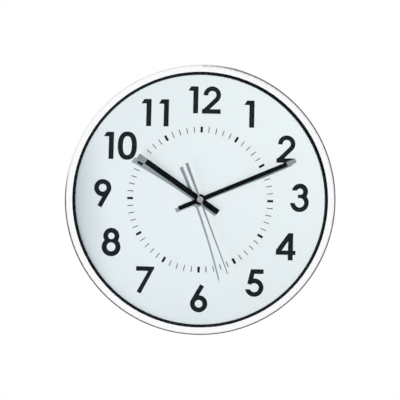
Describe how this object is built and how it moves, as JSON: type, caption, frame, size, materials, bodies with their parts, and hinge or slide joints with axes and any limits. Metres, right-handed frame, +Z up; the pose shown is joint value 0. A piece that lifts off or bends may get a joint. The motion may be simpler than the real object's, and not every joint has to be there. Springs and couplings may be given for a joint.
{
  "type": "round wall clock",
  "caption": "Round wall clock with domed dial and lens, bar hands, battery movement with its gear train, and a back plate with a keyhole hanger.",
  "frame": {"origin": "centre of the round entry of the wall keyhole, on the wall plane", "axes": "+Y points into the wall, the dial faces -Y, +Z points up to 12 o'clock, +X points to 3 o'clock"},
  "size_m": [0.2986, 0.0503, 0.2985],
  "materials": {
    "white_plastic": "glossy white moulding",
    "clear_lens": "clear and polished",
    "black_plastic": "satin black",
    "dial_sheet": "matt pale bluish white",
    "black_ink": "matt print",
    "black_lacquer": "satin black lacquer with grey tip",
    "grey_lacquer": "satin grey lacquer",
    "hub_metal": "satin",
    "back_plastic": "matt off-white moulding",
    "steel": "zinc plated",
    "movement_plastic": "matt black moulding",
    "bridge_plastic": "natural",
    "nut_brass": "turned",
    "washer_rubber": "matt",
    "cell_jacket": "printed sleeve, plain",
    "contact_metal": "nickel plated",
    "board": "solder resist",
    "chip_resin": "potting resin",
    "crystal_can": "drawn can",
    "soft_iron": "annealed",
    "bobbin_plastic": "natural",
    "coil_wire": "enamelled copper",
    "magnet": "sintered magnet",
    "wheel_plastic": "natural acetal"
  },
  "bodies": {
    "housing": {"case_ring": "white_plastic", "lens": "clear_lens", "dial_ring": "black_plastic", "dial": "dial_sheet", "hour_numerals": "black_ink", "minute_track": "black_ink", "case_back": "back_plastic", "wall_hanger": "back_plastic", "case_screws": "steel", "movement_base": "movement_plastic", "movement_cover": "movement_plastic", "train_bridge": "bridge_plastic", "centre_nut": "nut_brass", "rubber_washer": "washer_rubber", "aa_battery": "cell_jacket", "battery_contact_plus": "contact_metal", "battery_contact_minus": "contact_metal", "circuit_board": "board", "chip_cap": "chip_resin", "quartz_crystal": "crystal_can", "coil_core": "soft_iron", "coil_bobbin": "bobbin_plastic", "coil_winding": "coil_wire", "stator": "soft_iron"},
    "seconds": {"seconds_wheel": "wheel_plastic", "second_hand": "grey_lacquer", "second_hand_cap": "hub_metal"},
    "minute": {"minute_wheel": "wheel_plastic", "minute_hand": "black_lacquer"},
    "hour": {"hour_wheel": "wheel_plastic", "hour_hand": "black_lacquer"},
    "intermediate": {"intermediate_wheel": "wheel_plastic"},
    "rotor": {"rotor": "magnet"},
    "third": {"third_wheel": "wheel_plastic"},
    "minute_work": {"minute_work_wheel": "wheel_plastic"},
    "knob": {"set_knob": "movement_plastic"}
  },
  "joints": [
    {"name": "seconds_turn", "type": "hinge", "parent": "housing", "child": "seconds", "pos_m": [0, -0.02, -0.105], "axis": [0, 1, 0], "continuous": true},
    {"name": "intermediate_turn", "type": "hinge", "parent": "housing", "child": "intermediate", "pos_m": [0.01015, -0.02, -0.10131], "axis": [0, 1, 0], "continuous": true},
    {"name": "rotor_turn", "type": "hinge", "parent": "housing", "child": "rotor", "pos_m": [0.01365, -0.02, -0.09524], "axis": [0, 1, 0], "continuous": true},
    {"name": "third_turn", "type": "hinge", "parent": "housing", "child": "third", "pos_m": [-0.00342, -0.02, -0.09559], "axis": [0, 1, 0], "continuous": true},
    {"name": "minute_turn", "type": "hinge", "parent": "housing", "child": "minute", "pos_m": [0, -0.02, -0.105], "axis": [0, 1, 0], "continuous": true},
    {"name": "minute_work_turn", "type": "hinge", "parent": "housing", "child": "minute_work", "pos_m": [-0.00846, -0.02, -0.10808], "axis": [0, 1, 0], "continuous": true},
    {"name": "hour_turn", "type": "hinge", "parent": "housing", "child": "hour", "pos_m": [0, -0.02, -0.105], "axis": [0, 1, 0], "continuous": true},
    {"name": "knob_turn", "type": "hinge", "parent": "housing", "child": "knob", "pos_m": [-0.01664, -0.02, -0.10335], "axis": [0, 1, 0], "continuous": true}
  ],
  "couplings": [
    {"joint": "intermediate_turn", "follows": "seconds_turn", "ratio": -5},
    {"joint": "rotor_turn", "follows": "seconds_turn", "ratio": 30},
    {"joint": "third_turn", "follows": "seconds_turn", "ratio": -0.16667},
    {"joint": "minute_turn", "follows": "seconds_turn", "ratio": 0.016667},
    {"joint": "minute_work_turn", "follows": "seconds_turn", "ratio": -0.0055556},
    {"joint": "hour_turn", "follows": "seconds_turn", "ratio": 0.0013889},
    {"joint": "knob_turn", "follows": "seconds_turn", "ratio": 0.013889}
  ]
}
